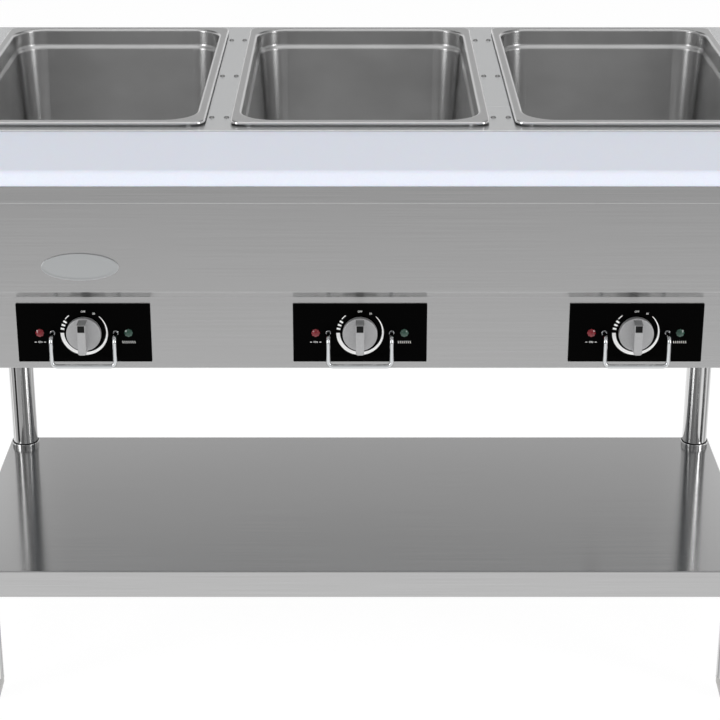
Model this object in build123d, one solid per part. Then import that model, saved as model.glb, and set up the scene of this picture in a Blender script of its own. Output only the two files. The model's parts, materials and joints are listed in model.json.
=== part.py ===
from build123d import *
import os
from math import radians, tan

# Electric hot food table with three wells side by side. A folded stainless body carries a deck with
# lift-out food pans, a cutting board on a front tray and a row of rotary heat controls, and stands
# on tube legs with an undershelf. Millimetres, +Z up, front towards -Y, origin on the floor under
# the middle of the whole table.

# Stance and sheet metal
deck_height = 864.0
sheet = 1.2
inner_bend = 0.4
weld_lip = 8.0
cover_lip = 22.0
tube_fit = 0.15
hole_gap = 0.4

# Food pans, full size
pan_length = 527.0
pan_width = 324.0
pan_depth = 150.0
pan_wall = 0.9
pan_edge = 3.2
pan_rim_radius = 15.0
pan_edge_radius = 2.2
pan_corner_radius = 42.0
pan_mouth_radius = 3.5
pan_band = 23.0
pan_shoulder = 3.4
pan_shoulder_slope = 35.0
pan_shoulder_radius = 5.0
pan_draft = 4.0
pan_floor_radius = 14.0

# Deck and its openings
divider = 31.6
end_margin = 47.4
front_margin = 17.4
rear_margin = 30.1
rim_overlap = 7.5
pan_gap = 4.1
rim_lift = 2.8
opening_radius = 30.0
opening_lip = 10.0
deck_corner = 2.0
deck_edge_radius = 1.5

# Wells, insulation and heating elements
steam_space = 48.0
liner_wall = 0.8
liner_gap = 0.5
liner_flange = 6.0
liner_floor_radius = 10.0
insulation = 19.0
insulation_gap = 0.3
sleeve_gap = 7.0
sleeve_air = 6.8
element_diameter = 8.0
element_rise = 18.0
element_margin = 55.0
element_bend = 12.0
terminal_spacing = 60.0
terminal_drop = 22.0
fitting_diameter = 18.0
fitting_height = 5.0
clip_spacing = 240.0
clip_width = 14.0
clip_length = 10.0

# Front: fascia, step and control panel
step_clear = 1.0
step_drop = 9.6
step_inset = 8.0
seam_drop = 4.0
plate_width = 172.6
plate_height = 79.9
plate_margin = 8.6
lower_margin = 9.9
plate_thickness = 1.5
plate_corner = 1.0
badge_width = 98.5
badge_height = 36.3
badge_drop = 179.0
badge_thickness = 1.2
badge_rim = 2.4
badge_recess = 0.4

# Heat controls
knob_gap = 1.0
knob_diameter = 44.9
knob_skirt = 7.0
knob_edge_radius = 1.6
grip_width = 10.8
grip_length = 40.9
grip_height = 19.8
grip_foot_radius = 3.0
grip_edge_radius = 0.5
pointer_size = 8.9
pointer_margin = 0.6
pointer_depth = 1.2
pointer_gap = 0.1
shaft_diameter = 6.0
shaft_seat = 0.02
shaft_running = 0.05
shaft_grip = 15.0
neck_diameter = 10.0
neck_proud = 2.0
switch_size = 38.0
switch_depth = 30.0
blade_width = 6.3
blade_length = 8.0
blade_thickness = 0.8
blade_spacing = 18.0

# Indicator lamps
lamp_offset = 57.2
lens_diameter = 11.4
lens_height = 2.6
lens_dome = 2.0
stem_diameter = 8.0
stem_reach = 5.0
lamp_diameter = 13.0
lamp_length = 22.0

# Knob guards
guard_wire = 5.0
guard_spacing = 81.5
guard_reach = 19.4
guard_drop = 38.9
guard_bend = 7.0
guard_gap = 0.25
guard_tail = 3.0
nut_width = 8.0
nut_height = 4.0

# Cutting board and its tray
board_depth = 168.3
board_thickness = 19.0
board_gap = 3.5
board_edge_radius = 2.0
board_end_radius = 4.0
seat_gap = 4.0
tray_edge = 21.6
tray_back = 62.0
hem_width = 4.0
hem_height = 12.0
bracket_count = 4
bracket_inset = 95.0
bracket_depth = 140.0
bracket_height = 56.0
bracket_flange = 22.0
bracket_sheet = 2.0
bracket_nose = 12.0
bracket_relief = 4.0
pin_inset = 90.0
pin_diameter = 8.0
pin_height = 8.0
pin_gap = 0.4

# Underside: cover, screws, terminal block and cable gland
cover_inset = 6.0
screw_count = 4
screw_inset = 110.0
screw_diameter = 4.2
screw_head = 9.0
screw_head_height = 2.6
screw_tail = 4.0
block_length = 70.0
block_depth = 32.0
block_height = 24.0
block_slot = 9.0
block_slots = 6
block_wall = 1.6
block_inset = 260.0
block_setback = 90.0
gland_inset = 180.0
gland_setback = 38.0
gland_bore = 12.5
gland_thread = 19.0
gland_nut = 26.0
gland_nut_height = 8.0
gland_dome = 17.0
lock_nut = 25.0
lock_nut_height = 5.0

# Legs, sockets, feet
leg_diameter = 38.1
leg_wall = 1.5
leg_setback_side = 18.0
leg_setback_end = 67.0
socket_wall = 3.0
socket_height = 50.0
socket_flange = 11.0
socket_plate = 3.0
socket_corner = 6.0
set_screw_diameter = 6.0
set_screw_proud = 3.0
set_screw_drop = 30.0
foot_height = 34.0
foot_top_diameter = 37.0
foot_tip_diameter = 22.0
foot_collar = 8.0
foot_tip_radius = 3.0
stem_thread = 10.0
stem_length = 44.0
stem_gap = 0.2
insert_flange = 3.0
insert_length = 26.0

# Undershelf
shelf_height = 217.2
shelf_apron = 39.8
shelf_rim = 6.0
shelf_corner = 4.0
shelf_edge_radius = 1.8
shelf_lip = 12.0
lip_notch = 60.0
collar_wall = 1.6
collar_rise = 6.5
collar_drop = 28.0
collar_edge_radius = 1.2
collar_flange_gap = 0.6
collar_flange_height = 2.0
collar_screw_drop = 18.0
stiffener_width = 60.0
stiffener_depth = 24.0
stiffener_flange = 15.0
stiffener_end = 90.0

# Places worked out from the sizes above
names = ("left", "centre", "right")
pan_flange = rim_overlap + pan_gap + pan_wall
mouth_width = pan_width - 2 * pan_flange
mouth_length = pan_length - 2 * pan_flange
rim_low = deck_height + rim_lift
rim_top = rim_low + pan_edge
opening_width = pan_width - 2 * rim_overlap
opening_length = pan_length - 2 * rim_overlap
well_pitch = pan_width + divider
well_x = dict(zip(names, (-well_pitch, 0.0, well_pitch)))
table_width = 2 * well_pitch + pan_width + 2 * end_margin
body_depth = front_margin + pan_length + rear_margin
half_width = table_width / 2
board_front = -(board_depth + board_gap + body_depth) / 2
body_front = board_front + board_depth + board_gap
body_rear = body_front + body_depth
pan_y = body_front + front_margin + pan_length / 2
under_deck = deck_height - sheet
deck_edge = board_thickness - seat_gap
face_front = body_front + sheet
face_rear = body_rear - sheet
face_side = half_width - sheet
well_floor = rim_top - pan_depth - steam_space
sleeve_bottom = well_floor - liner_wall - insulation_gap - insulation
step_top = sleeve_bottom - step_clear
panel_top = step_top - step_drop
panel_seam = panel_top - seam_drop
panel_front = face_front + step_inset
panel_height = plate_margin + plate_height + lower_margin
body_bottom = panel_top - panel_height
knob_z = panel_top - plate_margin - plate_height / 2
plate_front = panel_front - plate_thickness
panel_back = panel_front + sheet
tray_top = deck_height - board_thickness
cover_under = body_bottom - sheet
leg_radius = leg_diameter / 2
leg_x = half_width - leg_setback_side - leg_radius
leg_front = body_front + leg_setback_end + leg_radius
leg_rear = body_rear - leg_setback_end - leg_radius
leg_places = {
    "front_left": (-leg_x, leg_front),
    "front_right": (leg_x, leg_front),
    "rear_left": (-leg_x, leg_rear),
    "rear_right": (leg_x, leg_rear),
}
leg_bottom = foot_height + insert_flange
collar_inner = leg_radius + tube_fit
collar_outer = collar_inner + collar_wall
shelf_width = 2 * (leg_x + leg_radius + shelf_rim)
shelf_length = leg_rear - leg_front + 2 * (leg_radius + shelf_rim)
shelf_y = (leg_front + leg_rear) / 2
terminal_y = body_front + front_margin + rim_overlap + element_margin
element_y = body_rear - rear_margin - rim_overlap - element_margin
element_z = well_floor + element_rise
element_x = opening_width / 2 - element_margin


def block(width, length, radius, low, high, x=0.0, y=0.0):
    """Upright prism with rounded corners, between two heights."""
    return Pos(x, y, low) * extrude(RectangleRounded(width, length, radius), high - low)


def span(x, y, z):
    """Box given by its lowest and highest place along each axis."""
    size = Box(x[1] - x[0], y[1] - y[0], z[1] - z[0])
    return Pos((x[0] + x[1]) / 2, (y[0] + y[1]) / 2, (z[0] + z[1]) / 2) * size


def post(diameter, low, high, x=0.0, y=0.0):
    """Upright round bar between two heights."""
    return Pos(x, y, low) * extrude(Circle(diameter / 2), high - low)


def control_plane(x, y, z=knob_z):
    """Plane on the front of the table: its own X runs right, its Y up and its Z to the front."""
    return Plane((x, y, z), x_dir=(1, 0, 0), z_dir=(0, -1, 0))


def pin_out(radius, start, end, x=0.0, y=0.0):
    """Round bar along the Z of a control plane."""
    return Pos(x, y, start) * extrude(Circle(radius), end - start)


def folded(points, width, thickness=sheet):
    """Sheet folded along points in Y and Z, lying on their left, and running across the table."""
    line = [Vector(*point) for point in points]
    runs = [(b - a).normalized() for a, b in zip(line, line[1:])]
    sides = [Vector(-run.Y, run.X) for run in runs]
    back = [line[0] + sides[0] * thickness]
    corners = []
    for i, point in enumerate(line[1:-1]):
        mitre = (sides[i] + sides[i + 1]) * (thickness / (1 + sides[i].dot(sides[i + 1])))
        turns_left = runs[i].cross(runs[i + 1]).Z > 0
        outer = inner_bend + thickness
        corners.append((point, outer if turns_left else inner_bend))
        corners.append((point + mitre, inner_bend if turns_left else outer))
        back.append(point + mitre)
    back.append(line[-1] + sides[-1] * thickness)
    section = make_face(Polyline(*line, *reversed(back), close=True))
    for corner, radius in corners:
        section = fillet(section.vertices().sort_by_distance(corner)[0], radius)
    return extrude(Plane.YZ * section, width / 2, both=True)


def edges_at(shape, z, half_x, half_y):
    """Edges lying at one height, inside a rectangle about the middle."""
    slack = 0.01
    level = shape.edges().filter_by_position(Axis.Z, z - slack, z + slack)
    return [
        edge
        for edge in level
        if edge.bounding_box().max.X <= half_x + slack
        and edge.bounding_box().min.X >= -half_x - slack
        and edge.bounding_box().max.Y <= half_y + slack
        and edge.bounding_box().min.Y >= -half_y - slack
    ]


# Deck: flat sheet with a turned-down edge, and a lip round each opening that stands up to carry a rim
def top_deck():
    outer = block(table_width, body_depth, deck_corner, deck_height - deck_edge, deck_height)
    outer = fillet(outer.faces().sort_by(Axis.Z)[-1].edges(), deck_edge_radius)
    deck = Pos(0, (body_front + body_rear) / 2, 0) * outer
    deck -= span((-face_side, face_side), (face_front, face_rear), (deck_height - deck_edge, under_deck))
    low = deck_height - opening_lip
    seat = rim_top - pan_wall
    for x in well_x.values():
        ring = (opening_width + 2 * sheet, opening_length + 2 * sheet, opening_radius + sheet)
        deck += block(*ring, low, seat, x, pan_y)
        deck -= block(opening_width, opening_length, opening_radius, low, seat, x, pan_y)
    return deck


# Front and rear skins: a welding lip under the deck, then the face. The fascia runs on past its step
# and is butt welded to the control panel, ground flush.
def front_fascia():
    points = (
        (face_front + weld_lip, under_deck),
        (face_front, under_deck),
        (face_front, step_top),
        (panel_front, panel_top),
        (panel_front, panel_seam),
    )
    return folded(points, 2 * (face_side - sheet))


def screw_places():
    """Where the bottom cover is screwed to the lips of the front and rear panels."""
    pitch = (table_width - 2 * screw_inset) / (screw_count - 1)
    columns = [-half_width + screw_inset + i * pitch for i in range(screw_count)]
    rows = (panel_front + (cover_lip + cover_inset) / 2, face_rear - (cover_lip + cover_inset) / 2)
    return [(x, y) for y in rows for x in columns]


def drilled(panel):
    """A panel's lower lip with the holes of the cover screws."""
    for x, y in screw_places():
        panel -= post(screw_diameter + 2 * tube_fit, body_bottom - sheet, body_bottom + sheet, x, y)
    return panel


def control_panel():
    points = (
        (panel_front, panel_seam),
        (panel_front, body_bottom),
        (panel_front + cover_lip, body_bottom),
    )
    panel = drilled(folded(points, 2 * (face_side - sheet)))
    for x in well_x.values():
        panel -= control_plane(x, panel_back) * control_holes(2 * sheet)
    return panel


def control_holes(depth):
    """Holes for one control: switch neck, two lamp stems and two guard ends."""
    holes = pin_out(neck_diameter / 2 + hole_gap, -depth, depth)
    for side in (-1, 1):
        holes += pin_out(stem_diameter / 2 + hole_gap, -depth, depth, side * lamp_offset)
        holes += pin_out(guard_wire / 2 + guard_gap, -depth, depth, side * guard_spacing / 2)
    return holes


def rear_panel():
    points = (
        (face_rear - cover_lip, body_bottom),
        (face_rear, body_bottom),
        (face_rear, under_deck),
        (face_rear - weld_lip, under_deck),
    )
    return drilled(folded(points, 2 * (face_side - sheet)))


def side_panel(side):
    """End skin that follows the step of the front, with a lip for the bottom cover."""
    outline = Polyline(
        (face_front, under_deck),
        (face_front, step_top),
        (panel_front, panel_top),
        (panel_front, body_bottom),
        (face_rear, body_bottom),
        (face_rear, under_deck),
        close=True,
    )
    inside = face_side - sheet
    panel = Pos(inside, 0, 0) * extrude(Plane.YZ * make_face(outline), sheet)
    lip_ends = (panel_front + cover_lip + cover_inset, face_rear - cover_lip - cover_inset)
    panel += span((face_side - cover_lip, face_side), lip_ends, (body_bottom, body_bottom + sheet))
    return panel if side > 0 else mirror(panel, about=Plane.YZ)


def bottom_cover():
    across = (-face_side + cover_inset, face_side - cover_inset)
    along = (panel_front + cover_inset, face_rear - cover_inset)
    cover = span(across, along, (cover_under, body_bottom))
    cover -= post(gland_thread + 2 * hole_gap, cover_under, body_bottom, *gland_place())
    for x, y in screw_places():
        cover -= post(screw_diameter + 2 * tube_fit, cover_under, body_bottom, x, y)
    return cover


def cover_screws():
    screws = []
    for x, y in screw_places():
        head = post(screw_head, cover_under - screw_head_height, cover_under, x, y)
        head = fillet(head.faces().sort_by(Axis.Z)[0].edges(), screw_head_height / 2)
        screws.append(head + post(screw_diameter, cover_under, body_bottom + screw_tail, x, y))
    return Compound(children=screws)


# Wells: liners hung under the deck, wrapped in insulation, with a tube element on cradles
def well_liner(x):
    grow = 2 * (sheet + liner_gap)
    width = opening_width + grow
    length = opening_length + grow
    radius = opening_radius + grow / 2
    inner = block(width, length, radius, well_floor, under_deck)
    inner = fillet(inner.faces().sort_by(Axis.Z)[0].edges(), liner_floor_radius)
    skin = 2 * liner_wall
    outer = block(
        width + skin, length + skin, radius + liner_wall, well_floor - liner_wall, under_deck
    )
    outer = fillet(outer.faces().sort_by(Axis.Z)[0].edges(), liner_floor_radius + liner_wall)
    brim = skin + 2 * liner_flange
    outer += block(
        width + brim,
        length + brim,
        radius + liner_wall + liner_flange,
        under_deck - liner_wall,
        under_deck,
    )
    liner = Pos(x, pan_y, 0) * (outer - inner)
    for side in (-1, 1):
        hole = element_diameter + 2 * hole_gap
        place = (x + side * terminal_spacing / 2, terminal_y)
        liner -= post(hole, well_floor - liner_wall, well_floor, *place)
    return liner


def well_insulation():
    """One glass-wool sleeve round each liner, with slots for the element's ends."""
    grow = 2 * (sheet + liner_gap + liner_wall + insulation_gap)
    top = under_deck - sheet - liner_wall - insulation_gap
    ends = (body_front + 2 * sheet + sleeve_air, body_rear - 2 * sheet - sleeve_air)
    half = (well_pitch - sleeve_gap) / 2
    sleeves = []
    for x in well_x.values():
        sleeve = span((x - half, x + half), ends, (sleeve_bottom, top))
        radius = opening_radius + grow / 2
        hollow = block(
            opening_width + grow, opening_length + grow, radius, sleeve_bottom + insulation, top
        )
        hollow = fillet(
            hollow.faces().sort_by(Axis.Z)[0].edges(), liner_floor_radius + liner_wall
        )
        sleeve -= Pos(x, pan_y, 0) * hollow
        for side in (-1, 1):
            place = (x + side * terminal_spacing / 2, terminal_y)
            sleeve -= post(fitting_diameter, sleeve_bottom, sleeve_bottom + insulation, *place)
        sleeves.append(sleeve)
    return Compound(children=sleeves)


def heating_element(x):
    """Sheathed tube bent round the well, with a flanged fitting where each end goes through."""
    end_z = sleeve_bottom - terminal_drop
    half = terminal_spacing / 2
    route = (
        (x - half, terminal_y, end_z),
        (x - half, terminal_y, element_z),
        (x - element_x, terminal_y, element_z),
        (x - element_x, element_y, element_z),
        (x + element_x, element_y, element_z),
        (x + element_x, terminal_y, element_z),
        (x + half, terminal_y, element_z),
        (x + half, terminal_y, end_z),
    )
    path = FilletPolyline(*route, radius=element_bend)
    element = sweep(Plane(path @ 0, z_dir=path % 0) * Circle(element_diameter / 2), path=path)
    for side in (-1, 1):
        place = (x + side * half, terminal_y)
        element += post(fitting_diameter, well_floor, well_floor + fitting_height, *place)
    return element


def element_clips():
    """Cradles that hold the element off the well's floor."""
    clips = []
    for x in well_x.values():
        for side_x in (-1, 1):
            for side_y in (-1, 1):
                at_x = x + side_x * element_x
                at_y = (terminal_y + element_y) / 2 + side_y * clip_spacing / 2
                clip = span(
                    (at_x - clip_width / 2, at_x + clip_width / 2),
                    (at_y - clip_length / 2, at_y + clip_length / 2),
                    (well_floor, element_z),
                )
                saddle = Cylinder(element_diameter / 2 + tube_fit, 2 * clip_length, rotation=(90, 0, 0))
                clips.append(clip - Pos(at_x, at_y, element_z) * saddle)
    return Compound(children=clips)


# Food pan: drawn wall with a stacking shoulder, radiused corners and a turned-down rim
def pan_form(grow):
    """Solid form of the pan's hollow, grown outwards by a wall."""
    width = mouth_width + 2 * grow
    length = mouth_length + 2 * grow
    radius = pan_corner_radius + grow
    shoulder_z = rim_top - pan_band - grow * tan(radians(pan_shoulder_slope / 2))
    floor_z = rim_top - pan_depth + pan_wall - grow
    run = pan_shoulder / tan(radians(pan_shoulder_slope))
    form = block(width, length, radius, shoulder_z, rim_top)
    ring = RectangleRounded(width, length, radius)
    form += extrude(Pos(0, 0, shoulder_z) * ring, run, dir=(0, 0, -1), taper=pan_shoulder_slope)
    lower = RectangleRounded(
        width - 2 * pan_shoulder, length - 2 * pan_shoulder, radius - pan_shoulder
    )
    lower_z = shoulder_z - run
    form += extrude(Pos(0, 0, lower_z) * lower, lower_z - floor_z, dir=(0, 0, -1), taper=pan_draft)
    form = fillet(edges_at(form, shoulder_z, width / 2, length / 2), pan_shoulder_radius + grow)
    form = fillet(edges_at(form, lower_z, width / 2, length / 2), pan_shoulder_radius - grow)
    return fillet(form.faces().sort_by(Axis.Z)[0].edges(), pan_floor_radius + grow)


def food_pan(x):
    rim = block(pan_width, pan_length, pan_rim_radius, rim_low, rim_top)
    rim = fillet(rim.faces().sort_by(Axis.Z)[-1].edges(), pan_edge_radius)
    under = block(
        pan_width - 2 * pan_wall,
        pan_length - 2 * pan_wall,
        pan_rim_radius - pan_wall,
        rim_low,
        rim_top - pan_wall,
    )
    under = fillet(under.faces().sort_by(Axis.Z)[-1].edges(), pan_edge_radius - pan_wall)
    pan = rim - under + pan_form(pan_wall)
    throat = (mouth_width / 2 + pan_wall, mouth_length / 2 + pan_wall)
    pan = fillet(edges_at(pan, rim_top - pan_wall, *throat), pan_mouth_radius - pan_wall)
    pan -= pan_form(0.0)
    pan = fillet(edges_at(pan, rim_top, mouth_width / 2, mouth_length / 2), pan_mouth_radius)
    return Pos(x, pan_y, 0) * pan


# Cutting board, the tray it lies on, and what carries the tray
def pin_places():
    y = board_front + board_depth / 2
    return [(side * (half_width - pin_inset), y) for side in (-1, 1)]


def cutting_board():
    board = block(table_width, board_depth, board_end_radius, tray_top, deck_height)
    board = fillet(board.faces().sort_by(Axis.Z)[-1].edges(), board_edge_radius)
    board = Pos(0, board_front + board_depth / 2, 0) * board
    for x, y in pin_places():
        socket = post(pin_diameter + 2 * pin_gap, tray_top, tray_top + pin_height + pin_gap, x, y)
        board -= socket
    return board


def board_pins():
    pins = []
    for x, y in pin_places():
        pin = post(pin_diameter, tray_top, tray_top + pin_height, x, y)
        pins.append(chamfer(pin.faces().sort_by(Axis.Z)[-1].edges(), pin_gap))
    return Compound(children=pins)


def board_tray():
    points = (
        (face_front, tray_top - tray_back),
        (face_front, tray_top),
        (board_front, tray_top),
        (board_front, tray_top - tray_edge),
        (board_front + hem_width, tray_top - tray_edge),
        (board_front + hem_width, tray_top - tray_edge + hem_height),
    )
    return folded(points, table_width)


def board_brackets():
    """Gussets under the tray: a web with a flange to the tray and one to its back edge."""
    pitch = (table_width - 2 * bracket_inset) / (bracket_count - 1)
    back = face_front - sheet
    top = tray_top - sheet
    outline = Polyline(
        (back, top - bracket_relief),
        (back, top - bracket_height),
        (back - bracket_nose, top - bracket_height),
        (back - bracket_depth, top - bracket_nose),
        (back - bracket_depth, top),
        (back - bracket_relief, top),
        close=True,
    )
    web = extrude(Plane.YZ * make_face(outline), bracket_sheet)
    wide = (0, bracket_flange)
    web += span(wide, (back - bracket_depth, back - bracket_relief), (top - bracket_sheet, top))
    web += span(wide, (back - bracket_sheet, back), (top - bracket_height, top - bracket_relief))
    places = [-half_width + bracket_inset + i * pitch for i in range(bracket_count)]
    return Compound(children=[Pos(x, 0, 0) * web for x in places])


# Front fittings: bare badge, control plates, knobs, switches, lamps and guards
def badge():
    oval = extrude(Ellipse(badge_width / 2, badge_height / 2), badge_thickness)
    oval = fillet(oval.faces().sort_by(Axis.Z)[-1].edges(), badge_recess)
    field = Ellipse(badge_width / 2 - badge_rim, badge_height / 2 - badge_rim)
    oval -= Pos(0, 0, badge_thickness - badge_recess) * extrude(field, badge_recess)
    return control_plane(well_x["left"], face_front, deck_height - badge_drop) * oval


def control_plate(x):
    plate = extrude(RectangleRounded(plate_width, plate_height, plate_corner), plate_thickness)
    return control_plane(x, panel_front) * (plate - control_holes(2 * plate_thickness))


def knob(x):
    """Round skirt with a grip bar that holds a square pointer near its top end."""
    skirt = extrude(Circle(knob_diameter / 2), knob_skirt)
    skirt = fillet(skirt.faces().sort_by(Axis.Z)[-1].edges(), knob_edge_radius)
    outline = Rectangle(grip_width, grip_length)
    outline = fillet(outline.vertices().sort_by(Axis.Y)[:2], grip_foot_radius)
    front = knob_skirt + grip_height
    grip = extrude(outline, front)
    grip = fillet(grip.faces().sort_by(Axis.Z)[-1].edges(), grip_edge_radius)
    shape = skirt + grip
    shape -= pin_out(neck_diameter / 2 + hole_gap, 0, neck_proud)
    shape -= pin_out(shaft_diameter / 2 + shaft_seat, 0, neck_proud + shaft_grip)
    recess = pointer_size + 2 * pointer_gap
    pocket = extrude(Rectangle(recess, recess), pointer_depth)
    shape -= Pos(0, pointer_y(), front - pointer_depth) * pocket
    return control_plane(x, plate_front - knob_gap) * shape


def pointer_y():
    """Height of the pointer's middle above the knob's axis."""
    return grip_length / 2 - pointer_margin - pointer_gap - pointer_size / 2


def knob_pointer(x):
    front = knob_skirt + grip_height
    square = extrude(Rectangle(pointer_size, pointer_size), pointer_depth - pointer_gap)
    return control_plane(x, plate_front - knob_gap) * (Pos(0, pointer_y(), front - pointer_depth) * square)


def switch_shaft(x):
    """Shaft from inside the switch to the end of the knob's bore."""
    reach = panel_back - plate_front + knob_gap + neck_proud + shaft_grip
    return control_plane(x, panel_back) * pin_out(shaft_diameter / 2, -switch_depth / 2, reach)


def control_switches():
    """Heat switches behind the panel, each with a neck through the panel and plate."""
    switches = []
    for x in well_x.values():
        body = extrude(RectangleRounded(switch_size, switch_size, plate_corner), switch_depth)
        body = Pos(0, 0, -switch_depth) * body
        body += pin_out(neck_diameter / 2, 0, panel_back - plate_front + neck_proud)
        for side_x in (-1, 1):
            for side_y in (-1, 1):
                blade = extrude(Rectangle(blade_width, blade_thickness), blade_length)
                place = (side_x * blade_spacing / 2, side_y * blade_spacing / 2)
                body += Pos(*place, -switch_depth - blade_length) * blade
        reach = panel_back - plate_front + neck_proud
        body -= pin_out(shaft_diameter / 2 + shaft_running, -switch_depth / 2 - shaft_running, reach)
        switches.append(control_plane(x, panel_back) * body)
    return Compound(children=switches)


def lamp_lenses(side):
    """Domed lenses on the plates, with stems into the lamps behind."""
    lenses = []
    for x in well_x.values():
        lens = extrude(Circle(lens_diameter / 2), lens_height)
        lens = fillet(lens.faces().sort_by(Axis.Z)[-1].edges(), lens_dome)
        lens += pin_out(stem_diameter / 2, -(panel_back - plate_front) - stem_reach, 0)
        lenses.append(control_plane(x + side * lamp_offset, plate_front) * lens)
    return Compound(children=lenses)


def lamp_bodies():
    lamps = []
    for x in well_x.values():
        for side in (-1, 1):
            lamp = pin_out(lamp_diameter / 2, -lamp_length, 0)
            lamp -= pin_out(stem_diameter / 2 + tube_fit, -stem_reach - tube_fit, 0)
            lamps.append(control_plane(x + side * lamp_offset, panel_back) * lamp)
    return Compound(children=lamps)


def guard_end():
    """How far a guard's threaded ends run behind the panel's back face."""
    return nut_height + guard_tail


def knob_guard(x):
    """Bent wire bumper below and before the knob."""
    half = guard_spacing / 2
    back = plate_front - panel_back - guard_end()
    route = (
        (-half, 0, back),
        (-half, 0, guard_reach),
        (-half, -guard_drop, guard_reach),
        (half, -guard_drop, guard_reach),
        (half, 0, guard_reach),
        (half, 0, back),
    )
    path = FilletPolyline(*route, radius=guard_bend)
    wire = sweep(Plane(path @ 0, z_dir=path % 0) * Circle(guard_wire / 2), path=path)
    return control_plane(x, plate_front) * wire


def guard_nuts():
    nuts = []
    for x in well_x.values():
        for side in (-1, 1):
            nut = extrude(RegularPolygon(nut_width / 2, 6, major_radius=False), nut_height)
            nut -= pin_out(guard_wire / 2 + tube_fit, 0, nut_height)
            place = control_plane(x + side * guard_spacing / 2, panel_back)
            nuts.append(place * (Pos(0, 0, -nut_height) * nut))
    return Compound(children=nuts)


# Underside fittings
def terminal_block():
    """Moulded strip of screw terminals on the bottom cover."""
    strip = Box(block_length, block_depth, block_height)
    pitch = (block_length - block_wall) / block_slots
    for i in range(block_slots):
        slot_x = -block_length / 2 + block_wall + i * pitch + (pitch - block_wall) / 2
        for side in (-1, 1):
            slot = Box(pitch - block_wall, block_slot, block_height / 2)
            strip -= Pos(slot_x, side * (block_depth - block_slot) / 2, block_height / 4) * slot
    x = half_width - block_inset
    return Pos(x, face_rear - block_setback, body_bottom + block_height / 2) * strip


def gland_place():
    return half_width - gland_inset, face_rear - gland_setback


def cable_gland():
    """Threaded gland through the bottom cover, with its lock nut inside."""
    hexagon = RegularPolygon(gland_nut / 2, 6, major_radius=False)
    gland = Pos(0, 0, cover_under - gland_nut_height) * extrude(hexagon, gland_nut_height)
    dome_low = cover_under - gland_nut_height - gland_dome
    dome = post(gland_nut, dome_low, cover_under - gland_nut_height)
    gland += fillet(dome.faces().sort_by(Axis.Z)[0].edges(), (gland_nut - gland_bore) / 4)
    gland += post(gland_thread, cover_under, body_bottom + lock_nut_height + tube_fit)
    lock = RegularPolygon(lock_nut / 2, 6, major_radius=False)
    gland += Pos(0, 0, body_bottom) * extrude(lock, lock_nut_height)
    gland -= post(gland_bore, dome_low, body_bottom + lock_nut_height + tube_fit)
    return Pos(*gland_place(), 0) * gland


# Legs, the sockets that hold them to the body, and the levelling feet
def leg(name):
    tube = post(leg_diameter, leg_bottom, cover_under) - post(
        leg_diameter - 2 * leg_wall, leg_bottom, cover_under
    )
    return Pos(*leg_places[name], 0) * tube


def inward(x):
    """Turn about Z that points a part's X towards the middle of the table."""
    return Rot(0, 0, 180 if x > 0 else 0)


def leg_sockets():
    side = 2 * (leg_radius + socket_flange)
    tube = leg_diameter + 2 * (tube_fit + socket_wall)
    low = cover_under - socket_height
    sockets = []
    for x, y in leg_places.values():
        socket = block(side, side, socket_corner, cover_under - socket_plate, cover_under)
        socket += post(tube, low, cover_under)
        socket -= post(leg_diameter + 2 * tube_fit, low, cover_under)
        socket -= grub_screw(cover_under - set_screw_drop, 0, tube / 2 + set_screw_proud, tube_fit)
        sockets.append(Pos(x, y, 0) * (inward(x) * socket))
    return Compound(children=sockets)


def grub_screw(z, start, end, grow=0.0):
    """Round bar along X, between two distances from the leg's axis."""
    screw = Cylinder(set_screw_diameter / 2 + grow, end - start, rotation=(0, 90, 0))
    return Pos((start + end) / 2, 0, z) * screw


def set_screws():
    screws = []
    for x, y in leg_places.values():
        seats = (
            (cover_under - set_screw_drop, collar_inner + socket_wall),
            (shelf_height - sheet - collar_screw_drop, collar_outer),
        )
        for z, outside in seats:
            screw = grub_screw(z, collar_inner, outside + set_screw_proud)
            screws.append(Pos(x, y, 0) * (inward(x) * screw))
    return Compound(children=screws)


def foot(name):
    """Bullet foot: tapered tip with a flat end, a collar and a threaded stem."""
    tip = foot_tip_diameter / 2
    top = foot_top_diameter / 2
    outline = Polyline(
        (0, 0), (tip, 0), (top, foot_height - foot_collar), (top, foot_height), (0, foot_height), close=True
    )
    profile = make_face(outline)
    profile = fillet(profile.vertices().sort_by_distance((tip, 0))[0], foot_tip_radius)
    body = revolve(Plane.XZ * profile, Axis.Z)
    body += post(stem_thread, foot_height, foot_height + stem_length)
    return Pos(*leg_places[name], 0) * body


def foot_inserts():
    """Threaded plugs in the legs' lower ends."""
    inserts = []
    for x, y in leg_places.values():
        plug = post(leg_diameter, foot_height, leg_bottom)
        plug += post(leg_diameter - 2 * leg_wall - 2 * tube_fit, leg_bottom, leg_bottom + insert_length)
        plug -= post(stem_thread + 2 * stem_gap, foot_height, leg_bottom + insert_length)
        inserts.append(Pos(x, y, 0) * plug)
    return Compound(children=inserts)


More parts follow.
